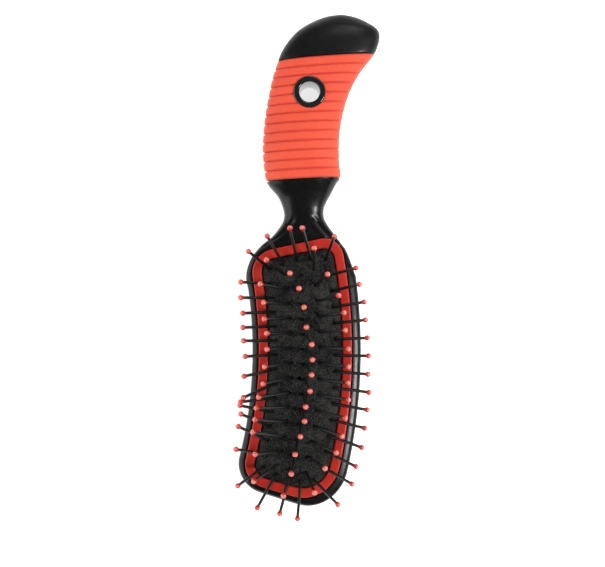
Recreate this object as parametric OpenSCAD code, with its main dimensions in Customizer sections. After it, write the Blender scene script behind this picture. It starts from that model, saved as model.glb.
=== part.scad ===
// Pin brush for grooming a pet: an S-shaped handle, and a curved head with a domed rubber cushion
// of ball-tipped pins. It lies on its back. The origin is on the flat land under the head, +Y points
// to the handle's end, +Z is the way the pins point. Millimetres.

/* [Head] */
// Half of the head's width, measured across its curved centre line
head_half_w = 24.3; // [23:0.1:27]
// Radius of the arc that the head's centre line follows
bend_r = 222; // [190:1:300]
// Sideways place of the top of that arc
bend_x = 1.9; // [0:0.1:4]
// Lengthwise place of the top of that arc
bend_y = 11.2; // [8:0.1:14]
// Length of centre line from the top of the arc to the toe
head_toe = 68.2; // [68:0.1:72]
// Corner radius of the toe, hollow side
toe_r_left = 14; // [10:0.5:16]
// Corner radius of the toe, bulging side
toe_r_right = 19; // [12:0.5:20]
// Height of the rim around the cushion
rim_z = 13.2; // [13:0.1:15]

/* [Retaining frame] */
// Half of the frame's outer width
frame_half_w = 20.7; // [20:0.1:21]
// Width of the frame's band
frame_band = 4.2; // [3.6:0.1:4.6]
// Thickness of the frame above the cushion's flange
frame_t = 1.8; // [1.5:0.1:2.4]
// Sideways offset of the frame from the head's centre line
frame_shift = -0.6; // [-1:0.1:0]

/* [Cushion] */
// Height of the dome above its flange
dome_h = 8.5; // [7:0.1:9]
// Thickness of the rubber
cushion_t = 1.4; // [1.2:0.1:1.5]
// Diameter of the vent that lets the air out
vent_d = 1.8; // [1:0.1:2.5]

/* [Pins] */
// Length of a pin from the cushion to the centre of its ball
pin_len = 20; // [16:0.5:22]
// Diameter of a pin's wire
pin_d = 1.35; // [0.9:0.05:1.4]
// Diameter of a ball tip
ball_d = 2.4; // [2:0.1:2.8]
// Distance of the outer rows from the centre line
outer_row = 13.2; // [12.6:0.1:13.4]
// Distance of the inner rows from the centre line
inner_row = 6.6; // [6:0.1:7]
// Distance between the pins of a row
pin_pitch = 6.73; // [6.4:0.01:6.8]
// How far the pins fan out
pin_spread = 1; // [0.85:0.05:1]
// Uneven lean of hand-set pins
pin_scatter = 1.2; // [0:0.2:2]

/* [Handle] */
// Thickness of the rubber grip
grip_t = 2; // [1.6:0.1:2.4]
// Number of ribs around the grip
rib_count = 13; // [9:1:15]
// Depth of the grooves between the ribs
groove_depth = 0.9; // [0.4:0.1:1.2]
// Diameter of the hanging hole
hole_d = 9; // [8:0.1:9.6]

/* [Hidden] */

BLACK = "#161616";
CORAL = "#e9563b";
RED = "#b5281c";
BALL_RED = "#e8443a";

section_n = 28;      // points around a section of the body
fit_gap = 0.15;      // gap between pieces that slide together
skin_gap = 0.1;      // gap between the grip and the core under it
hole_gap = 0.05;     // gap around a pin in its hole

flange_z = 11.2;     // shelf that the cushion's flange lies on
flange_t = 1.2;
frame_z = flange_z + flange_t;
chamber_z = 3;       // floor of the air chamber
shelf_w = 3.7;
peg_d = 2;
peg_len = 5;
peg_clear = 0.5;     // space left under a peg
under_z = -0.8;      // lowest level of the head before its flat land is cut

hole_at = [3.1, 125.7];
core_hole_r = hole_d / 2 + 1;    // hole through the core and the grip, around the eyelet's barrel
boss_r = hole_d / 2 + 3.2;       // solid stretch of the core around that hole
above = 30;          // a cut this high passes through everything

// An outline around the head's centre line: half-width, lengths to the toe and to the heel, and the
// corner radii toe left, toe right, heel right, heel left
frame_edge = [frame_half_w, 64.6, 47.9, 11, 17, 8.8, 11];

// Rows of the neck and handle: y, x of the middle, slope in degrees, half-width, lowest z, highest z,
// z of the widest level, roundness of the upper and of the lower half
NECK = [
    [49.0, -2.2, 9.8, 23.4, -0.8, 13.2, 8.0, 4.6, 2.6],
    [54.6, -2.0, 6.0, 21.2, -0.6, 13.2, 8.0, 4.6, 2.6],
    [59.0, -0.9, 3.0, 17.7, 0.0, 13.2, 7.8, 4.0, 2.6],
    [62.8, 0.5, 1.5, 13.9, 0.8, 13.2, 7.6, 3.2, 2.5],
    [67.9, 0.9, 0.0, 10.1, 1.6, 13.3, 7.6, 2.6, 2.4],
    [71.2, 0.7, 0.0, 8.8, 1.8, 13.4, 7.7, 2.4, 2.4],
    [75.2, 0.5, 1.0, 9.2, 1.8, 13.8, 7.9, 2.4, 2.4],
    [80.3, 0.8, 2.0, 11.6, 1.6, 15.2, 8.4, 2.4, 2.4],
    [84.8, 0.3, 3.0, 14.7, 1.3, 17.2, 9.2, 2.4, 2.4]
];
GRIP = [
    [87.8, 0.4, 3.0, 16.6, 1.0, 18.2, 9.6, 2.4, 2.4],
    [94.3, -0.4, 3.0, 16.9, 1.0, 18.6, 9.8, 2.4, 2.4],
    [102.3, -0.7, 3.0, 17.1, 1.0, 18.6, 9.8, 2.4, 2.4],
    [110.3, -0.2, 3.0, 17.2, 1.0, 18.6, 9.8, 2.4, 2.4],
    [117.8, 1.0, 3.4, 17.6, 1.0, 18.6, 9.8, 2.4, 2.4],
    [126.4, 3.2, 3.6, 18.3, 1.0, 18.6, 9.8, 2.5, 2.4],
    [134.0, 6.1, 3.8, 19.6, 1.0, 18.6, 9.8, 2.5, 2.4],
    [142.1, 10.5, 4.0, 21.5, 1.0, 18.4, 9.7, 2.5, 2.4]
];
POMMEL = [
    [146.7, 12.4, 3.4, 21.4, 1.0, 18.2, 9.6, 2.4, 2.4],
    [151.1, 14.5, 1.6, 20.0, 1.4, 17.8, 9.5, 2.3, 2.3],
    [154.9, 16.2, 0.0, 17.3, 2.3, 16.8, 9.4, 2.2, 2.2],
    [158.1, 17.2, -1.4, 12.3, 3.9, 15.0, 9.3, 2.1, 2.1],
    [160.4, 17.2, -1.0, 6.8, 5.9, 12.9, 9.3, 2, 2],
    [161.4, 17.2, 0.0, 1.8, 7.9, 10.8, 9.3, 2, 2]
];

grip_y0 = GRIP[0][0];
grip_y1 = GRIP[7][0];
grip_end = grip_y1 - 0.2;    // the grip stops short of the pommel

head_depth = 2.5;    // a pin's flat head lies this far under the surface
head_t = 0.5;
head_r = 1.3;
pin_in_ball = 0.3;   // the wire ends this far past its ball's centre

// ---- the curved centre line ----

function turn(s) = s / bend_r * 180 / PI;

// A place s along the centre line and o to the right of it
function bent(s, o) = [
    bend_x - bend_r + (bend_r + o) * cos(turn(s)),
    bend_y + (bend_r + o) * sin(turn(s))
];

// ---- outlines around the centre line ----

function inset(e, d) = [e[0] - d, e[1] - d, e[2] - d, for (i = [3:6]) max(e[i] - d, 1)];

function corner_loss(d, r) = d >= r ? 0 : r - sqrt(max(0, r * r - (r - d) * (r - d)));

function left_w(e, s) = e[0] - corner_loss(s + e[1], e[3]) - corner_loss(e[2] - s, e[6]);
function right_w(e, s) = e[0] - corner_loss(s + e[1], e[4]) - corner_loss(e[2] - s, e[5]);

// Places along the centre line, close together at the rounded ends
end_reach = 15;
function along_edge(e) = concat(
    [for (a = [0:15:75]) -e[1] + end_reach * (1 - cos(a))],
    [for (k = [0:9]) -e[1] + end_reach + k / 9 * (e[1] + e[2] - 2 * end_reach)],
    [for (a = [75:-15:0]) e[2] - end_reach * (1 - cos(a))]
);

// Closed loop of points on an outline
function loop(e) = let(at = along_edge(e), n = len(at)) concat(
    [for (s = at) bent(s, frame_shift + right_w(e, s))],
    [for (k = [n - 1:-1:0]) bent(at[k], frame_shift - left_w(e, at[k]))]
);

// ---- lofts ----

// Solid through a list of rings that all have the same, even number of points
module loft(rings) {
    m = len(rings[0]);
    n = len(rings);
    last = (n - 1) * m;
    sides = [
        for (i = [0:n - 2], k = [0:m - 1]) let(
            a = i * m + k,
            b = i * m + (k + 1) % m
        ) each [[a, b + m, b], [a, a + m, b + m]]
    ];
    strips = [for (k = [0:m / 2 - 2]) [k, k + 1, m - 2 - k, m - 1 - k]];
    polyhedron(
        [for (r = rings) each r],
        concat(sides, strips, [for (q = strips) [q[3] + last, q[2] + last, q[1] + last, q[0] + last]])
    );
}

// Tube between outer rings and inner rings
module loft_tube(outer, inner) {
    loft_ring(concat(outer, [for (i = [len(inner) - 1:-1:0]) inner[i]]));
}

// Ring-shaped solid: a list of rings whose last one joins the first again
module loft_ring(rings) {
    m = len(rings[0]);
    n = len(rings);
    polyhedron(
        [for (r = rings) each r],
        [
            for (i = [0:n - 1], k = [0:m - 1]) let(
                j = (i + 1) % n,
                a = i * m + k,
                b = i * m + (k + 1) % m,
                c = j * m + (k + 1) % m,
                d = j * m + k
            ) each [[a, c, b], [a, d, c]]
        ]
    );
}

// ---- body sections ----

function power(v, n) = sign(v) * pow(abs(v), 2 / n);

// Ring for a station [y, x, slope, left, right, low, high, level, upper roundness, lower roundness]
function section(st, shrink = 0) = [
    for (k = [0:section_n - 1]) let(
        a = -360 * k / section_n,
        n = sin(a) > 0 ? st[8] : st[9],
        half = (st[3] + st[4]) / 2 - shrink,
        side = (st[4] - st[3]) / 2 + half * power(cos(a), n),
        rise = sin(a) > 0 ? st[6] - shrink - st[7] : st[7] - st[5] - shrink
    ) [
        st[1] + side * cos(st[2]),
        st[0] + side * sin(st[2]),
        st[7] + rise * power(sin(a), n)
    ]
];

// Smooth curve through rows whose first number is the parameter
function curve(rows, y, i = 0) =
    i < len(rows) - 2 && y > rows[i + 1][0] ? curve(rows, y, i + 1) : let(
        b = rows[i],
        c = rows[i + 1],
        a = i > 0 ? rows[i - 1] : 2 * b - c,
        d = i < len(rows) - 2 ? rows[i + 2] : 2 * c - b,
        h = c[0] - b[0],
        u = (y - b[0]) / h,
        mb = (c - a) * h / (c[0] - a[0]),
        mc = (d - b) * h / (d[0] - b[0])
    ) b * (2 * pow(u, 3) - 3 * pow(u, 2) + 1) + mb * (pow(u, 3) - 2 * pow(u, 2) + u)
        + c * (3 * pow(u, 2) - 2 * pow(u, 3)) + mc * (pow(u, 3) - pow(u, 2));

// A handle row becomes a station with equal left and right halves
function handle_station(y) = let(
    r = curve(HANDLE, y)
) [y, r[1], r[2], r[3], r[3], r[4], r[5], r[6], r[7], r[8]];

// Level of the widest part of the head, and roundness above and below it
HEAD_FORM = [8, 4.6, 2.6];

function head_row(s) = let(
    p = bent(s, 0)
) concat([p[1], p[0], turn(s), head_half_w, under_z, rim_z], HEAD_FORM);

HANDLE = concat([head_row(30)], NECK, GRIP, POMMEL);

// How far a rounded end of the given length has fallen away at a distance d from the end
function fall(d, reach) = d >= reach ? 0 : 1 - sqrt(max(0, 1 - pow(1 - d / reach, 2)));

head_edge = [head_half_w, head_toe, 200, toe_r_left, toe_r_right, 1, 1];

// The toe is rounded under over one length and at the rim over another
toe_under = [5.6, 13];
toe_rim = [3, 4];

function head_station(s) = let(
    p = bent(s, 0),
    d = s + head_toe
) concat(
    [p[1], p[0], turn(s), left_w(head_edge, s), right_w(head_edge, s)],
    [under_z + toe_under[0] * fall(d, toe_under[1]), rim_z - toe_rim[0] * fall(d, toe_rim[1])],
    HEAD_FORM
);

// ---- body ----

module head_cut(e, z0, z1) {
    translate([0, 0, z0]) linear_extrude(z1 - z0) polygon(loop(e));
}

// Places of the frame's snap pegs: three on each side and one at each end
function peg_places() = let(o = frame_half_w - frame_band / 2) concat(
    [for (s = [-44, -8, 28], side = [-1, 1]) bent(s, frame_shift + side * o)],
    [bent(-frame_edge[1] + frame_band / 2, -3), bent(frame_edge[2] - frame_band / 2, 0)]
);

module pegs(d, z0, z1) {
    for (p = peg_places()) translate([p[0], p[1], z0]) cylinder(d = d, h = z1 - z0, $fn = 32);
}

module brush_body() {
    toe_s = [for (a = [0:15:75]) -head_toe + toe_r_right * (1 - cos(a))];
    mid_s = [for (s = [-head_toe + toe_r_right:9.5:28]) s];
    neck_y = [for (y = [45:4.4:84.6]) y];
    shoulder_y = grip_y0 - 0.5;
    core_y = concat([grip_y0 - 0.2], [for (k = [1:9]) grip_y0 + k / 9 * (grip_end - grip_y0)]);
    inside = grip_t + skin_gap;
    color(BLACK) difference() {
        loft(concat(
            [for (s = concat(toe_s, mid_s)) section(head_station(s))],
            [for (y = concat(neck_y, [shoulder_y])) section(handle_station(y))],
            [for (y = core_y) section(handle_station(y), inside)]
        ));
        // Flat land that the brush rests on
        translate([-60, -100, -5]) cube([120, 300, 5]);
        // Air chamber, and the step that the flange and the frame sit in
        head_cut(inset(frame_edge, shelf_w), chamber_z, rim_z + 5);
        head_cut(inset(frame_edge, -fit_gap), flange_z, rim_z + 5);
        pegs(peg_d + 2 * skin_gap, frame_z - peg_len - peg_clear, frame_z);
        difference() {
            handle_bore(grip_y1 + 1, 0);
            translate([hole_at[0], hole_at[1], 0]) cylinder(r = boss_r, h = above, $fn = 64);
        }
        translate([hole_at[0], hole_at[1], -1]) cylinder(r = core_hole_r, h = above, $fn = 64);
    }
}

// Hollow of the handle's core, or the plug that fills its mouth when gap is above 0
bore_y0 = 97;
bore_wall = 3;
plug_len = 5.5;
module handle_bore(y1, gap, y0 = bore_y0) {
    ys = [for (k = [0:5]) y0 + k / 5 * (y1 - y0)];
    loft([for (y = ys) section(handle_station(y), grip_t + skin_gap + bore_wall + gap)]);
}

module end_cap() {
    ys = [grip_y1, 143.5, 145.5, 147.5, 149.5, 151.5, 153.5, 155.3, 157, 158.5, 159.7, 160.6, 161.4];
    color(BLACK) {
        union() {
            loft([for (y = ys) section(handle_station(y))]);
            handle_bore(grip_y1 + 1, fit_gap, grip_y1 - plug_len);
        }
    }
}

// ---- grip ----

rib_pitch = (grip_end - grip_y0) / rib_count;
neck_taper = 0.5;     // how far the grip is drawn in at the neck
pommel_taper = 0.3;   // and at the pommel

// The grooves are deep on the hollow side of the handle and fade out on the other side
function grooved(y, depth) = let(
    plain = section(handle_station(y)),
    sunk = section(handle_station(y), depth)
) [
    for (k = [0:section_n - 1]) let(
        side = (cos(360 * k / section_n) + 1) / 2,
        w = 1 - 0.75 * pow(side, 3)
    ) plain[k] * (1 - w) + sunk[k] * w
];

module grip_sleeve() {
    crown = 0.12;
    profile = [[0, 1], [0.08, 1], [0.2, crown], [0.5, 0], [0.8, crown], [0.92, 1]];
    outer = concat(
        [grooved(grip_y0, neck_taper)],
        [
            for (i = [0:rib_count - 1], p = profile)
                if (i > 0 || p[0] > 0.1) grooved(grip_y0 + (i + p[0]) * rib_pitch, groove_depth * p[1])
        ],
        [grooved(grip_end, pommel_taper)]
    );
    inner_y = [for (k = [0:9]) grip_y0 + k / 9 * (grip_end - grip_y0)];
    color(CORAL) difference() {
        loft_tube(outer, [for (y = inner_y) section(handle_station(y), grip_t)]);
        translate([hole_at[0], hole_at[1], -1]) cylinder(r = core_hole_r, h = above, $fn = 64);
        for (z = [-10, eyelet_top - eyelet_flange])
            translate([hole_at[0], hole_at[1], z]) cylinder(r = eyelet_r + skin_gap, h = pocket_h(z), $fn = 64);
    }
}

// ---- eyelets of the hanging hole ----

eyelet_r = 7;
eyelet_top = 19;
eyelet_bottom = 0.6;
eyelet_flange = 1.1;
eyelet_chamfer = 0.4;
barrel_r = hole_d / 2 + 0.8;

function pocket_h(z) = z < 0 ? eyelet_bottom + eyelet_flange - z : 10;

module eyelet_front() {
    color(BLACK) translate([hole_at[0], hole_at[1], 0]) difference() {
        union() {
            translate([0, 0, eyelet_top - eyelet_flange])
                cylinder(r1 = eyelet_r, r2 = eyelet_r, h = eyelet_flange - eyelet_chamfer, $fn = 64);
            translate([0, 0, eyelet_top - eyelet_chamfer])
                cylinder(r1 = eyelet_r, r2 = eyelet_r - eyelet_chamfer, h = eyelet_chamfer, $fn = 64);
            translate([0, 0, eyelet_bottom])
                cylinder(r = barrel_r, h = eyelet_top - eyelet_bottom - eyelet_chamfer, $fn = 64);
        }
        translate([0, 0, -1]) cylinder(d = hole_d, h = above, $fn = 64);
    }
}

module eyelet_back() {
    color(BLACK) translate([hole_at[0], hole_at[1], eyelet_bottom]) difference() {
        union() {
            cylinder(r1 = eyelet_r - eyelet_chamfer, r2 = eyelet_r, h = eyelet_chamfer, $fn = 64);
            translate([0, 0, eyelet_chamfer])
                cylinder(r = eyelet_r, h = eyelet_flange - eyelet_chamfer, $fn = 64);
        }
        translate([0, 0, -1]) cylinder(r = barrel_r + 0.05, h = above, $fn = 64);
    }
}

// ---- retaining frame ----

module retaining_frame() {
    b = frame_band;
    t = frame_t;
    profile = [
        [0, 0], [0, t - 0.9], [0.45, t - 0.25], [1.3, t],
        [b - 1.3, t], [b - 0.45, t - 0.25], [b, t - 0.9], [b, 0]
    ];
    color(RED) union() {
        loft_ring([
            for (p = profile) [for (q = loop(inset(frame_edge, p[0]))) [q[0], q[1], frame_z + p[1]]]
        ]);
        pegs(peg_d, frame_z - peg_len, frame_z + t / 2);
    }
}

// ---- cushion ----

vent_at = [-11.8, -2.4]; // along and across the head
opening = inset(frame_edge, frame_band);
cushion_edge = inset(opening, 0.2);

// Height of a dome on the given outline at s, and at v of its half-width (-1 left edge, 1 right edge)
function swell(u) = sqrt(max(0, 1 - pow(1 - min(1, max(0, u)), 2)));
function dome(e, s, v) = swell(1 - abs(v)) * swell((s + e[1]) / e[0]) * swell((e[2] - s) / e[0]);

// The cushion's surface at s and o
function share(e, s, o) = o > 0 ? o / right_w(e, within(e, s)) : o / left_w(e, within(e, s));
function cushion_z(s, o) = frame_z + dome_h * dome(cushion_edge, s, share(cushion_edge, s, o));

// Closed sheet between two heights, through the places that across gives for each s
module sheet(at, across, top, under) {
    function place(s, o, z) = concat(bent(s, frame_shift + o), [z]);
    loft([
        for (s = at) let(
            os = across(s)
        ) concat(
            [for (o = os) place(s, o, top(s, o))],
            [for (k = [len(os) - 1:-1:0]) place(s, os[k], under(s, os[k]))]
        )
    ]);
}

// Places across an outline, close together at its edges
strips_across = 12;
function within(e, s) = max(-e[1], min(e[2], s));
function across_edge(e, s) = [
    for (k = [0:strips_across]) let(
        v = -cos(k * 180 / strips_across)
    ) v * (v > 0 ? right_w(e, within(e, s)) : left_w(e, within(e, s)))
];

// Its children with the pin holes of the rows up to k
module pierced(k) {
    if (k < 0) children();
    else difference() {
        pierced(k - 1) children();
        for (p = ROWS[k]) pin_wire(p, -6, 6, pin_d / 2 + hole_gap);
    }
}

module cushion_pad() {
    flange = inset(frame_edge, 0.3);
    hollow = inset(cushion_edge, cushion_t);
    hollow_z = frame_z - 0.4;
    at = concat(
        [-flange[1], -cushion_edge[1]],
        along_edge(hollow),
        [cushion_edge[2], flange[2]]
    );
    across = function(s) concat(
        [-left_w(flange, within(flange, s)), -left_w(cushion_edge, within(cushion_edge, s))],
        across_edge(hollow, s),
        [right_w(cushion_edge, within(cushion_edge, s)), right_w(flange, within(flange, s))]
    );
    under = function(s, o) let(
        rise = dome(hollow, s, share(hollow, s, o))
    ) rise > 0.001 ? hollow_z + (frame_z + dome_h - cushion_t - hollow_z) * rise : flange_z;
    color(BLACK) pierced(len(ROWS) - 1) difference() {
        sheet(at, across, function(s, o) cushion_z(s, o), under);
        pegs(peg_d + 4 * skin_gap, flange_z - 1, frame_z + 1);
        translate(concat(bent(vent_at[0], frame_shift + vent_at[1]), [0]))
            cylinder(d = vent_d, h = above, $fn = 32);
    }
}

// Cloth-backed lining that carries the pins' heads
lining_t = 1;
lining_z = 10.5;
lining_inset = 4.6;
lining_drop = 3.8;   // how much flatter it is than the cushion
module cushion_lining() {
    e = inset(cushion_edge, lining_inset);
    height = function(s, o) lining_z + (dome_h - lining_drop) * dome(e, s, share(e, s, o));
    color("#3a3a3a")
        sheet(along_edge(e), function(s) across_edge(e, s), function(s, o) height(s, o) + lining_t, height);
}

// ---- pins ----

// Leans along the rows: place s, lean to the right, lean to the heel. The pins stand about square to
// the dome in the middle, fan out at both ends, and those of the hollow side are bent together.
LEFT_OUTER_LEAN = [
    [-49, -38, 5], [-42, -43, 22], [-35, -43, 19], [-28, -43, 8], [-21, -44, -10], [-15, -42, -21],
    [-8, -40, -8], [0, -41, 1], [15, -42, 4], [32, -39, 8]
];
LEFT_INNER_LEAN = [
    [-52, -26, -21], [-45, -32, -2], [-38, -40, 7], [-30, -41, 1], [-18, -38, -6], [-5, -31, -3],
    [8, -29, 3], [22, -31, 6], [29, -31, 11], [36, -18, 22]
];
CENTRE_LEAN = [
    [-52, -3, -29], [-45, -2, -16], [-30, 2, -9], [-12, 6, -9], [1, 9, -10], [14, 3, -7],
    [27, -3, 1], [34, -10, 4]
];
RIGHT_INNER_LEAN = [
    [-52, 13, -14], [-45, 21, -3], [-36, 32, -2], [-22, 37, 0], [6, 33, 2], [22, 26, 6],
    [29, 15, 13], [36, 2, 26]
];
RIGHT_OUTER_LEAN = [[-49, 41, -8], [-35, 45, -5], [-20, 47, 1], [0, 43, 2], [14, 41, 6], [32, 34, 4]];

// Leans of the five pins across an end, from left to right
HEEL_LEAN = [[-24, 28], [-17, 41], [-2, 44], [-6, 42], [16, 26]];
TOE_LEAN = [[-29, -27], [-18, -46], [-2, -41], [9, -45], [40, -21]];

// Each pin differs a little from the next; the golden angle keeps the row from repeating
golden = 137.5;
function uneven(k) = pin_scatter * sin(k * golden);

// A pin is [s, o, lean to the right, lean to the heel]
function side_row(o, n, s0, pitch, leans, seed) = [
    for (i = [0:n - 1]) let(
        s = s0 - i * pitch,
        lean = curve(leans, s) * pin_spread
    ) [s, o, lean[1] + uneven(i + seed), lean[2] + uneven(2 * i + seed + 5)]
];

// Five pins across an end of the head, curving in towards its corners by the given amount
function end_row(s, way, left, right, curve_in, leans) = [
    for (i = [0:4]) let(
        v = (i - 2) / 2,
        lean = leans[i] * pin_spread
    ) [s - way * curve_in * v * v, v * (v > 0 ? right : left), lean[0], lean[1]]
];

first_s = 32;
centre_pitch = 0.98 * pin_pitch;
LEFT_OUTER = side_row(-outer_row, 13, first_s, pin_pitch, LEFT_OUTER_LEAN, 1);
LEFT_INNER = side_row(-inner_row, 14, first_s + pin_pitch / 2, pin_pitch, LEFT_INNER_LEAN, 4);
CENTRE = side_row(0, 14, first_s + 2, centre_pitch, CENTRE_LEAN, 7);
RIGHT_INNER = side_row(inner_row, 14, first_s + pin_pitch / 2, pin_pitch, RIGHT_INNER_LEAN, 11);
RIGHT_OUTER = side_row(outer_row, 13, first_s, pin_pitch, RIGHT_OUTER_LEAN, 17);
HEEL = end_row(opening[2] - 3.2, 1, 12.6, 12.6, 1.5, HEEL_LEAN);
TOE = end_row(-opening[1] + 3.4, -1, 12.2, 10.4, 2.2, TOE_LEAN);
ROWS = [LEFT_OUTER, LEFT_INNER, CENTRE, RIGHT_INNER, RIGHT_OUTER, HEEL, TOE];

// Moves what it holds to the pin's place, with +Z along the pin
module on_pin(p) {
    at = bent(p[0], frame_shift + p[1]);
    a = tan(p[2]);
    b = tan(p[3]);
    translate([at[0], at[1], cushion_z(p[0], p[1])])
        rotate([0, acos(1 / sqrt(1 + a * a + b * b)), turn(p[0]) + atan2(b, a)]) children();
}

module pin_wire(p, z0, z1, r) {
    on_pin(p) translate([0, 0, z0]) cylinder(r = r, h = z1 - z0, $fn = 24);
}

module pins(row) {
    color(BLACK) for (p = row) {
        pin_wire(p, -head_depth - head_t / 2, pin_len + pin_in_ball, pin_d / 2);
        pin_wire(p, -head_depth - head_t, -head_depth, head_r);
    }
}

module tips(row) {
    color(BALL_RED) difference() {
        for (p = row) on_pin(p) translate([0, 0, pin_len]) sphere(d = ball_d, $fn = 32);
        for (p = row) pin_wire(p, 0, pin_len + pin_in_ball, pin_d / 2);
    }
}

brush_body();
end_cap();
grip_sleeve();
eyelet_front();
eyelet_back();
retaining_frame();
cushion_pad();
cushion_lining();
pins(LEFT_OUTER);  // left_outer_pins
tips(LEFT_OUTER);  // left_outer_tips
pins(LEFT_INNER);  // left_inner_pins
tips(LEFT_INNER);  // left_inner_tips
pins(CENTRE);  // centre_pins
tips(CENTRE);  // centre_tips
pins(RIGHT_INNER);  // right_inner_pins
tips(RIGHT_INNER);  // right_inner_tips
pins(RIGHT_OUTER);  // right_outer_pins
tips(RIGHT_OUTER);  // right_outer_tips
pins(HEEL);  // heel_pins
tips(HEEL);  // heel_tips
pins(TOE);  // toe_pins
tips(TOE);  // toe_tips
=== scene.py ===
"""Looks of the pin brush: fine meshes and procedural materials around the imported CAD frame."""

import math

import bmesh
import bpy
import numpy as np
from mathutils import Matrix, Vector
from mathutils.bvhtree import BVHTree


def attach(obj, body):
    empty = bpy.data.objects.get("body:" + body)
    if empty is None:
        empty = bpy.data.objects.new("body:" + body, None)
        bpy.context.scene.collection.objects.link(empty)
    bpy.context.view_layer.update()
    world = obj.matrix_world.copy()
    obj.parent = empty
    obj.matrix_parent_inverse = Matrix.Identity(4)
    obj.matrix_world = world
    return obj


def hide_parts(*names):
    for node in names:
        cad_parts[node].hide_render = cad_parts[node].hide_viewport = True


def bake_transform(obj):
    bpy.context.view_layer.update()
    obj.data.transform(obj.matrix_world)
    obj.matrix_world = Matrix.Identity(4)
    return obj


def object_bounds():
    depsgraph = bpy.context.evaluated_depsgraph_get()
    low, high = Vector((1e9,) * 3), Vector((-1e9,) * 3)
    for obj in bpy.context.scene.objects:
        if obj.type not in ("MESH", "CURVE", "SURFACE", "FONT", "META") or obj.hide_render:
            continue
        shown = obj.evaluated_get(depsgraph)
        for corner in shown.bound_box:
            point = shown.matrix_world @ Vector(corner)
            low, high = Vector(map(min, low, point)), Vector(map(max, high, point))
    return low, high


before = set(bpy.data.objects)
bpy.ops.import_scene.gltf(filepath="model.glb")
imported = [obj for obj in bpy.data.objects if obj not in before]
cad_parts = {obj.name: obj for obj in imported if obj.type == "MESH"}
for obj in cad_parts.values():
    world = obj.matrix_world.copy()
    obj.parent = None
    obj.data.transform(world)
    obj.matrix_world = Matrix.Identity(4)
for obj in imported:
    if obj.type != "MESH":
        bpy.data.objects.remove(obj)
cad_box = [[float(c) for c in corner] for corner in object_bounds()]

MM = 0.001

# ---- camera: straight above, as in the photograph ----

CAMERA_Y = 0.0412
CAMERA_Z = 0.557
cam = bpy.data.cameras.new("camera")
cam.sensor_width = 36
cam.lens = 72.73
cam.clip_start = 0.01
cam.clip_end = 20
camera = bpy.data.objects.new("camera", cam)
camera.location = (0, CAMERA_Y, CAMERA_Z)
bpy.context.scene.collection.objects.link(camera)
bpy.context.scene.camera = camera

# ---- sizes shared with part.scad, in millimetres ----

HEAD_HALF_W = 24.3
BEND_R = 222
BEND_X = 1.9
BEND_Y = 11.2
HEAD_TOE = 68.2
TOE_R_LEFT = 14
TOE_R_RIGHT = 19
RIM_Z = 13.2
FRAME_EDGE = [20.7, 64.6, 47.9, 11, 17, 8.8, 11]
FRAME_BAND = 4.2
FRAME_T = 1.8
FRAME_SHIFT = -0.6
DOME_H = 8.5
CUSHION_T = 1.4
VENT_D = 1.8
VENT_AT = (-11.8, -2.4)
FLANGE_Z = 11.2
FRAME_Z = 12.4
CHAMBER_Z = 3
SHELF_W = 3.7
FIT_GAP = 0.15
PIN_LEN = 20
PIN_D = 1.35
BALL_D = 2.4
OUTER_ROW = 13.2
INNER_ROW = 6.6
PIN_PITCH = 6.73
PIN_SCATTER = 1.2
HEAD_DEPTH = 2.5
HEAD_T = 0.5
HEAD_R = 1.3
GRIP_T = 2
SKIN_GAP = 0.1
RIB_COUNT = 13
GROOVE_DEPTH = 0.9
HOLE_D = 9
HOLE_AT = (3.1, 125.7)
EYELET_R = 7
EYELET_TOP = 19
EYELET_BOTTOM = 0.6
EYELET_FLANGE = 1.1
BARREL_R = HOLE_D / 2 + 0.8
CORE_HOLE_R = HOLE_D / 2 + 1  # hole through the core and the grip, around the eyelet's barrel
LINING_T = 1
LINING_Z = 10.5
LINING_INSET = 4.6
LINING_DROP = 3.8  # how much flatter the lining is than the cushion
UNDER_Z = -0.8  # lowest level of the head before its flat land is cut
HEAD_FORM = [8, 4.6, 2.6]  # level of the widest part, and roundness above and below it
ABOVE = 30  # a cutter this high passes through everything
BELOW = -3

# y, x of the middle, slope in degrees, half-width, lowest z, highest z, z of the widest level, and the
# roundness of the upper and of the lower half
NECK = [
    [49.0, -2.2, 9.8, 23.4, -0.8, 13.2, 8.0, 4.6, 2.6],
    [54.6, -2.0, 6.0, 21.2, -0.6, 13.2, 8.0, 4.6, 2.6],
    [59.0, -0.9, 3.0, 17.7, 0.0, 13.2, 7.8, 4.0, 2.6],
    [62.8, 0.5, 1.5, 13.9, 0.8, 13.2, 7.6, 3.2, 2.5],
    [67.9, 0.9, 0.0, 10.1, 1.6, 13.3, 7.6, 2.6, 2.4],
    [71.2, 0.7, 0.0, 8.8, 1.8, 13.4, 7.7, 2.4, 2.4],
    [75.2, 0.5, 1.0, 9.2, 1.8, 13.8, 7.9, 2.4, 2.4],
    [80.3, 0.8, 2.0, 11.6, 1.6, 15.2, 8.4, 2.4, 2.4],
    [84.8, 0.3, 3.0, 14.7, 1.3, 17.2, 9.2, 2.4, 2.4],
]
GRIP = [
    [87.8, 0.4, 3.0, 16.6, 1.0, 18.2, 9.6, 2.4, 2.4],
    [94.3, -0.4, 3.0, 16.9, 1.0, 18.6, 9.8, 2.4, 2.4],
    [102.3, -0.7, 3.0, 17.1, 1.0, 18.6, 9.8, 2.4, 2.4],
    [110.3, -0.2, 3.0, 17.2, 1.0, 18.6, 9.8, 2.4, 2.4],
    [117.8, 1.0, 3.4, 17.6, 1.0, 18.6, 9.8, 2.4, 2.4],
    [126.4, 3.2, 3.6, 18.3, 1.0, 18.6, 9.8, 2.5, 2.4],
    [134.0, 6.1, 3.8, 19.6, 1.0, 18.6, 9.8, 2.5, 2.4],
    [142.1, 10.5, 4.0, 21.5, 1.0, 18.4, 9.7, 2.5, 2.4],
]
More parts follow.
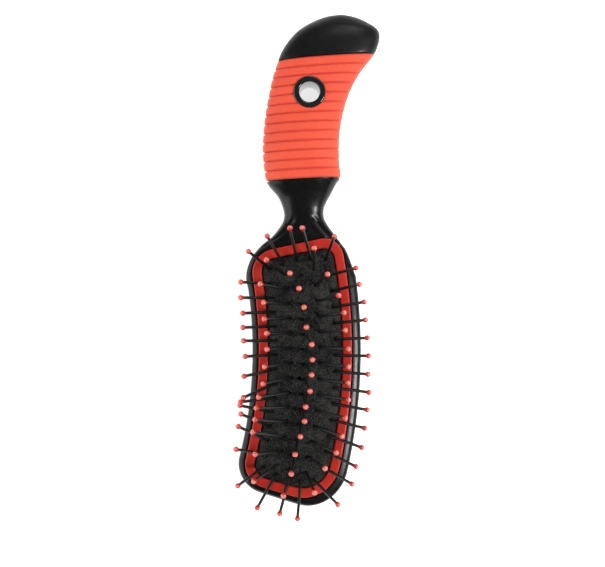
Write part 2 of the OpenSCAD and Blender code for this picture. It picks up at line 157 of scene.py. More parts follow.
POMMEL = [
    [146.7, 12.4, 3.4, 21.4, 1.0, 18.2, 9.6, 2.4, 2.4],
    [151.1, 14.5, 1.6, 20.0, 1.4, 17.8, 9.5, 2.3, 2.3],
    [154.9, 16.2, 0.0, 17.3, 2.3, 16.8, 9.4, 2.2, 2.2],
    [158.1, 17.2, -1.4, 12.3, 3.9, 15.0, 9.3, 2.1, 2.1],
    [160.4, 17.2, -1.0, 6.8, 5.9, 12.9, 9.3, 2, 2],
    [161.4, 17.2, 0.0, 1.8, 7.9, 10.8, 9.3, 2, 2],
]
GRIP_Y0 = GRIP[0][0]
GRIP_Y1 = GRIP[-1][0]
GRIP_END = GRIP_Y1 - 0.2  # the grip stops short of the pommel

# ---- the curved centre line and outlines around it ----


def turn(s):
    return s / BEND_R


def bent(s, o):
    """The place s along the head's centre line and o to the right of it."""
    return (
        BEND_X - BEND_R + (BEND_R + o) * math.cos(turn(s)),
        BEND_Y + (BEND_R + o) * math.sin(turn(s)),
    )


def inset(e, d):
    """An outline drawn in by d: half-width, lengths to the toe and to the heel, and corner radii."""
    return [e[0] - d, e[1] - d, e[2] - d] + [max(r - d, 1) for r in e[3:]]


def corner_loss(d, r):
    """How much a corner of radius r takes off the width at a distance d from the end."""
    return 0 if d >= r else r - math.sqrt(max(0, r * r - (r - d) ** 2))


def left_w(e, s):
    """Width of an outline to the left of the centre line at s."""
    return e[0] - corner_loss(s + e[1], e[3]) - corner_loss(e[2] - s, e[6])


def right_w(e, s):
    """Width of an outline to the right of the centre line at s."""
    return e[0] - corner_loss(s + e[1], e[4]) - corner_loss(e[2] - s, e[5])


def within(e, s):
    """The nearest place to s that the outline covers."""
    return max(-e[1], min(e[2], s))


def along_edge(e, corner_steps=24, mid_steps=120, reach=18):
    """Places along the centre line, close together at the rounded ends."""
    rise = [reach * (1 - math.cos(math.radians(90 * k / corner_steps))) for k in range(corner_steps)]
    mid = np.linspace(-e[1] + reach, e[2] - reach, mid_steps)
    return [-e[1] + r for r in rise] + list(mid) + [e[2] - r for r in reversed(rise)]


def loop(e):
    """Closed loop of (x, y) on an outline."""
    at = along_edge(e)
    right = [bent(s, FRAME_SHIFT + right_w(e, s)) for s in at]
    left = [bent(s, FRAME_SHIFT - left_w(e, s)) for s in reversed(at)]
    return right + left


# ---- meshes ----


def keep(name, verts, faces, body, slot, material, sharp=40):
    """Makes an object from millimetre points and lets it ride on a body."""
    return dress(raw(name, verts, faces), body, material, sharp)


def raw(name, verts, faces):
    """Makes an object from millimetre points, with its faces turned outwards."""
    mesh = bpy.data.meshes.new(name)
    mesh.from_pydata([tuple(float(c) * MM for c in v) for v in verts], [], [list(f) for f in faces])
    work = bmesh.new()
    work.from_mesh(mesh)
    bmesh.ops.recalc_face_normals(work, faces=work.faces)
    work.to_mesh(mesh)
    work.free()
    obj = bpy.data.objects.new(name, mesh)
    bpy.context.scene.collection.objects.link(obj)
    return obj


def dress(obj, body, material, sharp=40):
    """Smooths an object up to the given edge angle, and gives it its material and body."""
    mesh = obj.data
    mesh.polygons.foreach_set("use_smooth", [True] * len(mesh.polygons))
    mesh.set_sharp_from_angle(angle=math.radians(sharp))
    mesh.materials.clear()
    mesh.materials.append(material)
    if body:
        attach(obj, body)
    return obj


def cut(obj, cutter):
    """Takes the cutter away from obj, for good."""
    tool = obj.modifiers.new("cut", "BOOLEAN")
    tool.operation = "DIFFERENCE"
    tool.solver = "EXACT"
    tool.object = cutter
    bpy.context.view_layer.update()
    graph = bpy.context.evaluated_depsgraph_get()
    result = bpy.data.meshes.new_from_object(obj.evaluated_get(graph))
    obj.modifiers.remove(tool)
    obj.data = result
    bpy.data.objects.remove(cutter)


def ring_faces(rows, n, closed=False):
    """Faces between rings of n points. Where closed, the last ring joins the first."""
    faces = []
    for i in range(rows if closed else rows - 1):
        for k in range(n):
            a, b = i * n + k, i * n + (k + 1) % n
            c, d = ((i + 1) % rows) * n + (k + 1) % n, ((i + 1) % rows) * n + k
            faces.append((a, b, c, d))
    return faces


def loft_mesh(rings):
    """Points and faces of a solid through rings, with a cap at each end."""
    n, rows = len(rings[0]), len(rings)
    faces = ring_faces(rows, n)
    faces.append(tuple(range(n)))
    faces.append(tuple(range((rows - 1) * n, rows * n)))
    return [p for r in rings for p in r], faces


def tube_mesh(rings):
    """Points and faces of a ring-shaped solid: the last ring joins the first."""
    return [p for r in rings for p in r], ring_faces(len(rings), len(rings[0]), closed=True)


def circles(profile, centre, steps):
    """A level ring of points about the centre for each (radius, z)."""
    angles = [2 * math.pi * k / steps for k in range(steps)]
    return [
        [(centre[0] + r * math.cos(a), centre[1] + r * math.sin(a), z) for a in angles] for r, z in profile
    ]


def turned(profile, centre, steps=96):
    """A closed profile of (radius, z) turned about a vertical axis."""
    return tube_mesh(circles(profile, centre, steps))


def cylinder(name, centre, r, z0, z1, steps=96):
    return raw(name, *loft_mesh(circles([(r, z0), (r, z1)], centre, steps)))


# ---- sections of the body and handle ----

SECTION_N = 200


def section(st, shrink=0.0):
    """Ring for a station [y, x, slope, left, right, low, high, level, upper and lower roundness]."""
    y, x, slope, left, right, low, high, level, up, down = st
    a = -2 * math.pi * np.arange(SECTION_N) / SECTION_N
    c, s = np.cos(a), np.sin(a)
    power = np.where(s > 0, up, down)
    r = (np.abs(c) ** power + np.abs(s) ** power) ** (-1 / power)
    half = (left + right) / 2 - shrink
    side = (right - left) / 2 + half * r * c
    rise = np.where(s > 0, high - shrink - level, level - low - shrink)
    tilt = math.radians(slope)
    return np.stack([x + side * math.cos(tilt), y + side * math.sin(tilt), level + rise * r * s], 1)


def curve(rows, y):
    """Smooth curve through rows whose first number is the parameter."""
    i = 0
    while i < len(rows) - 2 and y > rows[i + 1][0]:
        i += 1
    b, c = rows[i], rows[i + 1]
    a = rows[i - 1] if i > 0 else 2 * b - c
    d = rows[i + 2] if i < len(rows) - 2 else 2 * c - b
    h = c[0] - b[0]
    u = (y - b[0]) / h
    mb = (c - a) * h / (c[0] - a[0])
    mc = (d - b) * h / (d[0] - b[0])
    return (
        b * (2 * u**3 - 3 * u**2 + 1) + mb * (u**3 - 2 * u**2 + u)
        + c * (3 * u**2 - 2 * u**3) + mc * (u**3 - u**2)
    )


def head_row(s):
    """A row like those of NECK, for the head at s."""
    x, y = bent(s, 0)
    return [y, x, math.degrees(turn(s)), HEAD_HALF_W, UNDER_Z, RIM_Z] + HEAD_FORM


HANDLE = np.array([head_row(30)] + NECK + GRIP + POMMEL, float)


def handle_station(y):
    """A row of the handle at y becomes a station with equal left and right halves."""
    r = curve(HANDLE, y)
    return [y, r[1], r[2], r[3], r[3], r[4], r[5], r[6], r[7], r[8]]


def fall(d, reach):
    """How far a rounded end of the given length has fallen away at d from the end."""
    return 0 if d >= reach else 1 - math.sqrt(max(0, 1 - (1 - d / reach) ** 2))


HEAD_EDGE = [HEAD_HALF_W, HEAD_TOE, 200, TOE_R_LEFT, TOE_R_RIGHT, 1, 1]


def head_station(s):
    """The head's section at s, rounded off under and at the rim where it nears the toe."""
    x, y = bent(s, 0)
    d = s + HEAD_TOE
    low = UNDER_Z + 5.6 * fall(d, 13) + 2.6 * fall(d, 2)
    high = RIM_Z - 3 * fall(d, 4) - 1.8 * fall(d, 1.6)
    widths = [left_w(HEAD_EDGE, s), right_w(HEAD_EDGE, s)]
    return [y, x, math.degrees(turn(s))] + widths + [low, high] + HEAD_FORM


# ---- material tools ----


class Nodes:
    """A small builder for node materials."""

    def __init__(self, name):
        self.mat = bpy.data.materials.new(name)
        self.mat.use_nodes = True
        self.tree = self.mat.node_tree
        self.shader = self.tree.nodes["Principled BSDF"]
        self.coord = self.add("ShaderNodeTexCoord").outputs["Object"]

    def add(self, kind, **values):
        node = self.tree.nodes.new(kind)
        for key, value in values.items():
            setattr(node, key, value)
        return node

    def link(self, a, b):
        self.tree.links.new(a, b)

    def noise(self, scale, detail=3.0, rough=0.55):
        node = self.add("ShaderNodeTexNoise")
        node.inputs["Scale"].default_value = scale
        node.inputs["Detail"].default_value = detail
        node.inputs["Roughness"].default_value = rough
        self.link(self.coord, node.inputs["Vector"])
        return node.outputs["Fac"]

    def cells(self, scale):
        node = self.add("ShaderNodeTexVoronoi")
        node.inputs["Scale"].default_value = scale
        self.link(self.coord, node.inputs["Vector"])
        return node.outputs["Distance"]

    def ramp(self, fac, *stops):
        """Colours along a value, from (place, colour) stops."""
        node = self.add("ShaderNodeValToRGB")
        marks = node.color_ramp.elements
        while len(marks) < len(stops):
            marks.new(0.5)
        for mark, (at, colour) in zip(marks, stops):
            mark.position = at
            mark.color = (*colour, 1)
        self.link(fac, node.inputs["Fac"])
        return node.outputs["Color"]

    def grey(self, fac, low, high, a=0.0, b=1.0):
        """Runs from low to high while fac runs from a to b."""
        node = self.add("ShaderNodeMapRange")
        for key, value in zip(("From Min", "From Max", "To Min", "To Max"), (a, b, low, high)):
            node.inputs[key].default_value = value
        self.link(fac, node.inputs["Value"])
        return node.outputs["Result"]

    def mix(self, fac, a, b):
        node = self.add("ShaderNodeMix", data_type="RGBA")
        for key, value in (("Factor", fac), ("A", a), ("B", b)):
            socket = [s for s in node.inputs if s.name == key and s.type in ("VALUE", "RGBA")]
            socket = [s for s in socket if (s.type == "RGBA") == (key != "Factor")][0]
            if isinstance(value, (float, int)):
                socket.default_value = value
            elif isinstance(value, tuple):
                socket.default_value = (*value, 1)
            else:
                self.link(value, socket)
        return [s for s in node.outputs if s.type == "RGBA"][0]

    def math(self, kind, a, b):
        node = self.add("ShaderNodeMath", operation=kind)
        for i, value in enumerate((a, b)):
            if isinstance(value, (float, int)):
                node.inputs[i].default_value = value
            else:
                self.link(value, node.inputs[i])
        return node.outputs[0]

    def bump(self, height, strength, distance, under=None):
        """Relief over the whole surface, laid on top of another relief if one is given."""
        node = self.add("ShaderNodeBump")
        node.inputs["Strength"].default_value = strength
        node.inputs["Distance"].default_value = distance
        self.link(height, node.inputs["Height"])
        if under:
            self.link(under, node.inputs["Normal"])
        return node.outputs["Normal"]

    def finish(self, colour, rough, normal=None, **sockets):
        """Links the shader's colour, roughness and relief, and sets its other sockets."""
        self.link(colour, self.shader.inputs["Base Color"])
        self.link(rough, self.shader.inputs["Roughness"])
        if normal:
            self.link(normal, self.shader.inputs["Normal"])
        for key, value in sockets.items():
            self.shader.inputs[key.replace("_", " ")].default_value = value
        return self.mat


def black_plastic(name, tone, rough_low, rough_high, coat, shine):
    """Moulded black plastic: faint flow marks, fine texture, and edges rubbed a little paler."""
    n = Nodes(name)
    cloud = n.noise(60, 4)
    fine = n.noise(2600, 2)
    colour = n.ramp(cloud, (0.3, (tone * 0.8,) * 3), (0.7, (tone * 1.15, tone * 1.12, tone * 1.12)))
    edge = n.grey(n.add("ShaderNodeNewGeometry").outputs["Pointiness"], 0.0, 0.35, 0.53, 0.62)
    colour = n.mix(edge, colour, (tone * 3.2, tone * 3.1, tone * 3.0))
    scuffs = n.noise(420, 6, 0.7)
    rough = n.grey(scuffs, rough_low, rough_high, 0.35, 0.7)
    normal = n.bump(fine, 0.12, 0.00003, n.bump(cloud, 0.25, 0.0002))
    return n.finish(
        colour, rough, normal, Coat_Weight=coat, Coat_Roughness=0.12, Specular_IOR_Level=shine
    )


def grip_rubber():
    """Coral rubber: fine pebbled skin, chalky crowns, and painted shade that deepens the colour down in
    the grooves.
    """
    n = Nodes("grip_coral")
    cloud = n.noise(90, 5)
    grain = n.noise(1500, 3, 0.6)
    pebble = n.cells(1250)
    colour = n.ramp(cloud, (0.3, (0.86, 0.072, 0.028)), (0.7, (0.93, 0.092, 0.040)))
    speck = n.grey(grain, 0.0, 0.55, 0.42, 0.75)
    colour = n.mix(speck, colour, (0.97, 0.145, 0.075))
    # Painted shade: the groove attribute, how deep in a groove a point lies, darkens the colour there
    sunk = n.add("ShaderNodeAttribute", attribute_name="groove").outputs["Fac"]
    colour = n.mix(n.grey(sunk, 0.0, 0.6), colour, (0.52, 0.024, 0.012))
    rough = n.grey(grain, 0.62, 0.82, 0.3, 0.7)
    normal = n.bump(pebble, 0.35, 0.00012, n.bump(grain, 0.3, 0.0001))
    return n.finish(colour, rough, normal, Sheen_Weight=0.15, Sheen_Roughness=0.5)


def frame_plastic():
    """Red moulded plastic with paler edges."""
    n = Nodes("frame_red")
    cloud = n.noise(70, 4)
    fine = n.noise(1900, 3)
    colour = n.ramp(cloud, (0.3, (0.44, 0.022, 0.013)), (0.7, (0.58, 0.034, 0.020)))
    edge = n.grey(n.add("ShaderNodeNewGeometry").outputs["Pointiness"], 0.0, 0.5, 0.52, 0.62)
    colour = n.mix(edge, colour, (0.74, 0.10, 0.065))
    rough = n.grey(n.noise(500, 5, 0.7), 0.28, 0.5, 0.35, 0.7)
    return n.finish(
        colour, rough, n.bump(fine, 0.2, 0.00004),
        Coat_Weight=0.06, Coat_Roughness=0.2, Specular_IOR_Level=0.25,
    )


def cushion_fabric():
    """Black rubberised twill: slanting ribs crossed by fine yarns, the same at every height."""
    n = Nodes("cushion_black")
    flat = n.add("ShaderNodeMapping")
    flat.inputs["Scale"].default_value = (1, 1, 0)
    n.link(n.coord, flat.inputs["Vector"])
    lean = n.add("ShaderNodeMapping")
    lean.inputs["Rotation"].default_value = (0, 0, math.radians(90))
    n.link(flat.outputs["Vector"], lean.inputs["Vector"])
    ribs = n.add("ShaderNodeTexWave", bands_direction="DIAGONAL")
    yarns = n.add("ShaderNodeTexWave", bands_direction="DIAGONAL")
    for node, scale, warp in ((ribs, 600, 2.2), (yarns, 1150, 1.4)):
        node.inputs["Scale"].default_value = scale
        node.inputs["Distortion"].default_value = warp
        node.inputs["Detail"].default_value = 1
        node.inputs["Detail Scale"].default_value = 2
    n.link(lean.outputs["Vector"], ribs.inputs["Vector"])
    n.link(flat.outputs["Vector"], yarns.inputs["Vector"])
    rib_part = n.math("MULTIPLY", ribs.outputs["Fac"], 0.7)
    weave = n.math("ADD", rib_part, n.math("MULTIPLY", yarns.outputs["Fac"], 0.3))
    patch = n.noise(120, 5, 0.6)
    fuzz = n.noise(2400, 2)
    tone = n.math("MULTIPLY", weave, n.grey(patch, 0.6, 1.3, 0.3, 0.7))
    tone = n.math("ADD", tone, n.grey(fuzz, -0.5, 0.5, 0.3, 0.7))
    colour = n.ramp(
        tone, (0.1, (0.0008, 0.0008, 0.0008)), (0.5, (0.007, 0.007, 0.0068)), (1.0, (0.085, 0.082, 0.079))
    )
    rough = n.grey(weave, 0.62, 0.85)
    normal = n.bump(weave, 0.7, 0.00025, n.bump(fuzz, 0.3, 0.0001))
    return n.finish(colour, rough, normal, Specular_IOR_Level=0.1)


def lining_cloth():
    """Dark grey plain weave."""
    n = Nodes("lining_cloth")
    warp = n.add("ShaderNodeTexWave", bands_direction="X")
    weft = n.add("ShaderNodeTexWave", bands_direction="Y")
    for node in (warp, weft):
        node.inputs["Scale"].default_value = 380
        node.inputs["Distortion"].default_value = 0.8
        n.link(n.coord, node.inputs["Vector"])
    weave = n.math("MULTIPLY", warp.outputs["Fac"], weft.outputs["Fac"])
    colour = n.ramp(weave, (0.0, (0.018, 0.018, 0.02)), (1.0, (0.075, 0.074, 0.072)))
    return n.finish(colour, n.grey(weave, 0.95, 0.8), n.bump(weave, 0.6, 0.0003))


def pin_enamel():
    """Black enamelled wire with small chips."""
    n = Nodes("pin_black")
    chips = n.noise(900, 5, 0.7)
    colour = n.ramp(
        chips, (0.35, (0.003, 0.003, 0.003)), (0.68, (0.008, 0.0078, 0.0075)), (0.8, (0.04, 0.037, 0.034))
    )
    rough = n.grey(chips, 0.25, 0.5, 0.35, 0.75)
    return n.finish(colour, rough, n.bump(chips, 0.2, 0.00005), Coat_Weight=0.2, Coat_Roughness=0.15)


def tip_resin():
    """Dipped resin beads: deep red at the collar, and a painted highlight that turns paler towards the top
    of the bead.
    """
    n = Nodes("tip_red")
    # Painted highlight: the drop attribute runs up the bead, and the ramp pales the colour towards its top
    drop = n.add("ShaderNodeAttribute", attribute_name="drop").outputs["Fac"]
    swirl = n.noise(700, 3)
    along = n.math("ADD", drop, n.grey(swirl, -0.12, 0.12, 0.3, 0.7))
    colour = n.ramp(
        along, (0.4, (0.40, 0.014, 0.011)), (0.74, (0.58, 0.036, 0.028)), (0.93, (0.93, 0.22, 0.165))
    )
    rough = n.grey(swirl, 0.22, 0.4, 0.3, 0.7)
    return n.finish(
        colour, rough, n.bump(n.noise(1600, 2), 0.1, 0.00004),
        Coat_Weight=0.5, Coat_Roughness=0.1, Subsurface_Weight=0.08, Subsurface_Scale=0.0006,
    )


BODY_BLACK = black_plastic("body_black", 0.0035, 0.26, 0.42, 0.14, 0.24)
CAP_BLACK = black_plastic("cap_black", 0.0045, 0.36, 0.52, 0.05, 0.22)
EYELET_BLACK = black_plastic("eyelet_black", 0.012, 0.06, 0.16, 0.6, 0.5)
GRIP_CORAL = grip_rubber()
FRAME_RED = frame_plastic()
CUSHION_BLACK = cushion_fabric()
LINING_CLOTH = lining_cloth()
PIN_BLACK = pin_enamel()
TIP_RED = tip_resin()

# ---- body ----

SEAM = 0.07


def moulded(ring):
    """The parting line of the mould stands a hair proud of both sides."""
    ring[0, 0] += SEAM
    ring[len(ring) // 2, 0] -= SEAM
    return ring


CREASE_START = 56.5
CREASE_END = 72.5
CREASE_WAIST = 71  # y of the neck's waist
CREASE_OUT = 0.52  # where a crease lies there, as a share of the half-width
CREASE_SPREAD = 0.031  # how much farther out it lies for each millimetre towards the head
CREASE_W = 1.15
CREASE_DEPTHS = ((1, 0.95), (-1, 0.4))  # the right one and the left one


def fluted(ring, y):
    """Presses the two creases that run from the waist out into the shoulders of the head."""
    x = ring[:, 0]
    st = handle_station(y)
    v = (x - st[1]) / st[3]
    top = ring[:, 2] > st[7]
    along = min(1, max(0, (y - CREASE_START) / 2.5)) * min(1, max(0, (CREASE_END - y) / 4.5))
    along = along * along * (3 - 2 * along)
    crease = CREASE_OUT + CREASE_SPREAD * (CREASE_WAIST - y)
    width = CREASE_W / st[3]
    depth = np.zeros(len(x))
    for side, deep in CREASE_DEPTHS:
        off = (side * v - crease) / width
        depth += deep * np.exp(-(off**2)) - 0.35 * deep * np.exp(-((off + 2.1) ** 2))
    ring[:, 2] -= np.where(top, along * depth, 0)
    return ring


def body_rings():
    """Rings from the toe to the pommel. Under the grip they are those of the core."""
    toe = [-HEAD_TOE + 20 * (1 - math.cos(math.radians(a))) for a in np.linspace(0, 87, 44)]
    mid = list(np.arange(toe[-1] + 1.2, 28, 1.5))
    rings = [moulded(section(head_station(s))) for s in toe + mid]
    for y in np.arange(41.2, 87.0, 0.6):
        rings.append(fluted(moulded(section(handle_station(y))), y))
    rings.append(section(handle_station(GRIP_Y0 - 0.5)))
    for y in np.linspace(GRIP_Y0 - 0.2, GRIP_END, 40):
        rings.append(section(handle_station(y), GRIP_T + SKIN_GAP))
    for ring in rings:
        ring[:, 2] = np.maximum(ring[:, 2], 0)
    return rings


def prism(name, e, z0, z1):
    """An upright solid on an outline, between two heights."""
    flat = loop(e)
    return raw(name, *loft_mesh([[(x, y, z) for x, y in flat] for z in (z0, z1)]))


def tray_cutter(rings):
    """The step for the flange and frame. Its mouth opens out, so that the rim's edge is rounded."""
    verts, faces = loft_mesh(rings)
    tree = BVHTree.FromPolygons([Vector(v) for v in verts], faces)
    e = inset(FRAME_EDGE, -FIT_GAP)
    lip = 0.7
    cutter = [[(x, y, FLANGE_Z) for x, y in loop(e)]]
    for a in (0, 20, 40, 60, 80):
        grow = lip * (1 - math.cos(math.radians(a)))
        drop = lip * (1 - math.sin(math.radians(a)))
        flat = loop(inset(e, -grow))
        ring = []
        for x, y in flat:
            hit = tree.ray_cast(Vector((x, y, 60)), Vector((0, 0, -1)))[0]
            ring.append((x, y, hit.z - drop))
        cutter.append(ring)
    cutter.append([(x, y, RIM_Z + 6) for x, y in loop(inset(e, -lip))])
    return raw("tray_cutter", *loft_mesh(cutter))


body = body_rings()
shell = raw("brush_body_shell", *loft_mesh(body))
cut(shell, prism("chamber_cutter", inset(FRAME_EDGE, SHELF_W), CHAMBER_Z, FLANGE_Z + 0.5))
cut(shell, tray_cutter(body))
cut(shell, cylinder("hole_cutter", HOLE_AT, CORE_HOLE_R, BELOW, ABOVE))
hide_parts("brush_body")
dress(shell, "body", BODY_BLACK)

# ---- pommel ----


def cap_rings():
    """Rings of the pommel, with a rounded edge at the seam and a rounded tip."""
    out = [section(handle_station(GRIP_Y1), 1.2), section(handle_station(GRIP_Y1 + 0.02), 0.55)]
    out += [section(handle_station(GRIP_Y1 + d), g) for d, g in ((0.08, 0.3), (0.22, 0.12), (0.45, 0.03))]
    for u in np.linspace(0.04, 1, 70):
        y = GRIP_Y1 + (POMMEL[-1][0] - GRIP_Y1) * math.sin(math.pi / 2 * u)
        out.append(moulded(section(handle_station(y))))
    st = handle_station(POMMEL[-1][0])
    for k in (0.8, 0.5, 0.2):
        end = list(st)
        end[0] += 0.12 * (1 - k)
        end[3] = end[4] = st[3] * k
        end[5] = st[7] - (st[7] - st[5]) * k
        end[6] = st[7] + (st[6] - st[7]) * k
        out.append(section(end))
    return out


cap = keep("pommel_cap", *loft_mesh(cap_rings()), "body", "cap_black", CAP_BLACK)
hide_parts("end_cap")

# ---- grip ----

RIB_PITCH = (GRIP_END - GRIP_Y0) / RIB_COUNT
# One rib: place along its pitch, and depth as a share of the groove's
RIB_PROFILE = [
    (0, 1), (0.022, 0.97), (0.05, 0.78), (0.08, 0.45), (0.115, 0.22), (0.17, 0.09), (0.27, 0.02),
    (0.4, 0), (0.6, 0), (0.73, 0.02), (0.83, 0.09), (0.885, 0.22), (0.92, 0.45), (0.95, 0.78),
    (0.978, 0.97),
]


def grooved(y, depth):
    """The grooves are deep on the hollow side of the handle and shallow on the other."""
    plain = section(handle_station(y))
    sunk = section(handle_station(y), depth)
    a = 2 * math.pi * np.arange(SECTION_N) / SECTION_N
    w = (1 - 0.75 * ((np.cos(a) + 1) / 2) ** 3)[:, None]
    return plain * (1 - w) + sunk * w


def grip_tube():
    """Rings of the ribbed outside and of the smooth inside, and how deep in a groove each one lies."""
    rings, marks = [], []
    for d, depth in ((0, 1.5), (0.05, 0.95), (0.2, 0.5), (0.45, 0.2)):
        rings.append(grooved(GRIP_Y0 + d, depth))
        marks.append(0.25)
    for i in range(RIB_COUNT):
        for t, p in RIB_PROFILE:
            y = GRIP_Y0 + (i + t) * RIB_PITCH
            if y > GRIP_Y0 + 0.6:
                wobble = 1 + 0.12 * math.sin(2.3 * i + 0.7)
                rings.append(grooved(y, GROOVE_DEPTH * p * wobble))
                marks.append(p)
    for d, depth in ((0.35, 0.12), (0.15, 0.35), (0, 0.8)):
        rings.append(grooved(GRIP_END - d, depth))
        marks.append(0.3)
    for y in np.linspace(GRIP_END, GRIP_Y0, 30):
        rings.append(section(handle_station(y), GRIP_T))
        marks.append(0)
    return rings, marks


grip_rings, groove_shade_marks = grip_tube()
grip = raw("grip_rubber", *tube_mesh(grip_rings))
# The groove attribute carries the depths that paint shade into the grooves
groove = grip.data.attributes.new("groove", "FLOAT", "POINT")
groove.data.foreach_set("value", np.repeat(np.array(groove_shade_marks, np.float32), SECTION_N))
pocket_r = EYELET_R + SKIN_GAP
cut(grip, cylinder("grip_hole", HOLE_AT, CORE_HOLE_R, BELOW, ABOVE))
cut(grip, cylinder("pocket_front", HOLE_AT, pocket_r, EYELET_TOP - EYELET_FLANGE, ABOVE))
cut(grip, cylinder("pocket_back", HOLE_AT, pocket_r, BELOW, EYELET_BOTTOM + EYELET_FLANGE))
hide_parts("grip_sleeve")
dress(grip, "body", GRIP_CORAL, 60)

# ---- eyelets ----


def rounded(points, steps=5):
    """A closed profile from (radius, z, rounding) corners."""
    out = []
    count = len(points)
    for i, (r, z, rad) in enumerate(points):
        if rad == 0:
            out.append((r, z))
            continue
        here = Vector((r, z))
        a = (Vector(points[i - 1][:2]) - here).normalized() * rad
        b = (Vector(points[(i + 1) % count][:2]) - here).normalized() * rad
        for k in range(steps + 1):
            u = k / steps
            p = here + a * (1 - u) ** 2 + b * u**2
            out.append((p.x, p.y))
    return out


def eyelet_part(name, node, corners):
    """A ring of the hanging hole, turned from (radius, z, rounding) corners."""
    ring = keep(name, *turned(rounded(corners), HOLE_AT), "body", "eyelet_black", EYELET_BLACK)
    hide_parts(node)


under_flange = EYELET_TOP - EYELET_FLANGE
over_flange = EYELET_BOTTOM + EYELET_FLANGE
barrel_bore = BARREL_R + 0.05
eyelet_part("eyelet_ring_front", "eyelet_front", [
    (HOLE_D / 2, EYELET_BOTTOM, 0.2), (HOLE_D / 2, EYELET_TOP, 0.75), (EYELET_R, EYELET_TOP, 0.55),
    (EYELET_R, under_flange, 0), (BARREL_R, under_flange, 0), (BARREL_R, EYELET_BOTTOM, 0.2),
])
eyelet_part("eyelet_ring_back", "eyelet_back", [
    (barrel_bore, EYELET_BOTTOM, 0.25), (barrel_bore, over_flange, 0),
    (EYELET_R, over_flange, 0), (EYELET_R, EYELET_BOTTOM, 0.5),
])

# ---- retaining frame ----

frame_profile = rounded([
    (0, 0, 0), (0, FRAME_T, 0.75), (FRAME_BAND, FRAME_T, 0.75), (FRAME_BAND, 0, 0.15),
])
frame_rings = [[(x, y, FRAME_Z + z) for x, y in loop(inset(FRAME_EDGE, d))] for d, z in frame_profile]
band = keep("frame_band", *tube_mesh(frame_rings), "body", "frame_red", FRAME_RED)
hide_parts("retaining_frame")

# ---- pins ----

OPENING = inset(FRAME_EDGE, FRAME_BAND)
CUSHION_EDGE = inset(OPENING, 0.2)


def swell(u):
    """A quarter circle: 0 at the edge, 1 from one radius in."""
    return math.sqrt(max(0, 1 - (1 - min(1, max(0, u))) ** 2))


def dome(e, s, v):
    """Height of a dome on an outline, as a share, at s and at v of its half-width."""
    return swell(1 - abs(v)) * swell((s + e[1]) / e[0]) * swell((e[2] - s) / e[0])


def share(e, s, o):
    """Where o lies across an outline: -1 at its left edge, 1 at its right edge."""
    return o / right_w(e, within(e, s)) if o > 0 else o / left_w(e, within(e, s))


def cushion_z(s, o):
    """Height of the cushion's surface."""
    return FRAME_Z + DOME_H * dome(CUSHION_EDGE, s, share(CUSHION_EDGE, s, o))


GOLDEN = 137.5  # golden angle, which keeps a row's scatter from repeating


def uneven(k):
    return PIN_SCATTER * math.sin(math.radians(k * GOLDEN))


def lean_at(leans, s):
    return curve([np.array(row, float) for row in leans], s)


def side_row(o, n, s0, pitch, leans, seed):
    """Pins along the head. A pin is (s, o, lean to the right, lean to the heel)."""
    out = []
    for i in range(n):
        s = s0 - i * pitch
        lean = lean_at(leans, s)
        out.append((s, o, lean[1] + uneven(i + seed), lean[2] + uneven(2 * i + seed + 5)))
    return out


def end_row(s, way, left, right, curve_in, leans):
    """Pins across an end of the head, curving in towards its corners."""
    out = []
    for i, lean in enumerate(leans):
        v = (i - 2) / 2
        out.append((s - way * curve_in * v * v, v * (right if v > 0 else left), *lean))
    return out


# Leans along the rows: place, lean to the right, lean to the heel
LEFT_OUTER_LEAN = [
    [-49, -38, 5], [-42, -43, 22], [-35, -43, 19], [-28, -43, 8], [-21, -44, -10], [-15, -42, -21],
    [-8, -40, -8], [0, -41, 1], [15, -42, 4], [32, -39, 8],
]
LEFT_INNER_LEAN = [
    [-52, -26, -21], [-45, -32, -2], [-38, -40, 7], [-30, -41, 1], [-18, -38, -6], [-5, -31, -3],
    [8, -29, 3], [22, -31, 6], [29, -31, 11], [36, -18, 22],
]
CENTRE_LEAN = [
    [-52, -3, -29], [-45, -2, -16], [-30, 2, -9], [-12, 6, -9], [1, 9, -10], [14, 3, -7],
    [27, -3, 1], [34, -10, 4],
]
RIGHT_INNER_LEAN = [
    [-52, 13, -14], [-45, 21, -3], [-36, 32, -2], [-22, 37, 0], [6, 33, 2], [22, 26, 6],
    [29, 15, 13], [36, 2, 26],
]
RIGHT_OUTER_LEAN = [[-49, 41, -8], [-35, 45, -5], [-20, 47, 1], [0, 43, 2], [14, 41, 6], [32, 34, 4]]
HEEL_LEAN = [[-24, 28], [-17, 41], [-2, 44], [-6, 42], [16, 26]]
TOE_LEAN = [[-29, -27], [-18, -46], [-2, -41], [9, -45], [40, -21]]
FIRST_S = 32
INNER_S = FIRST_S + PIN_PITCH / 2
CENTRE_PITCH = 0.98 * PIN_PITCH
ROWS = {
    "left_outer": side_row(-OUTER_ROW, 13, FIRST_S, PIN_PITCH, LEFT_OUTER_LEAN, 1),
    "left_inner": side_row(-INNER_ROW, 14, INNER_S, PIN_PITCH, LEFT_INNER_LEAN, 4),
    "centre": side_row(0, 14, FIRST_S + 2, CENTRE_PITCH, CENTRE_LEAN, 7),
    "right_inner": side_row(INNER_ROW, 14, INNER_S, PIN_PITCH, RIGHT_INNER_LEAN, 11),
    "right_outer": side_row(OUTER_ROW, 13, FIRST_S, PIN_PITCH, RIGHT_OUTER_LEAN, 17),
    "heel": end_row(OPENING[2] - 3.2, 1, 12.6, 12.6, 1.5, HEEL_LEAN),
    "toe": end_row(-OPENING[1] + 3.4, -1, 12.2, 10.4, 2.2, TOE_LEAN),
}


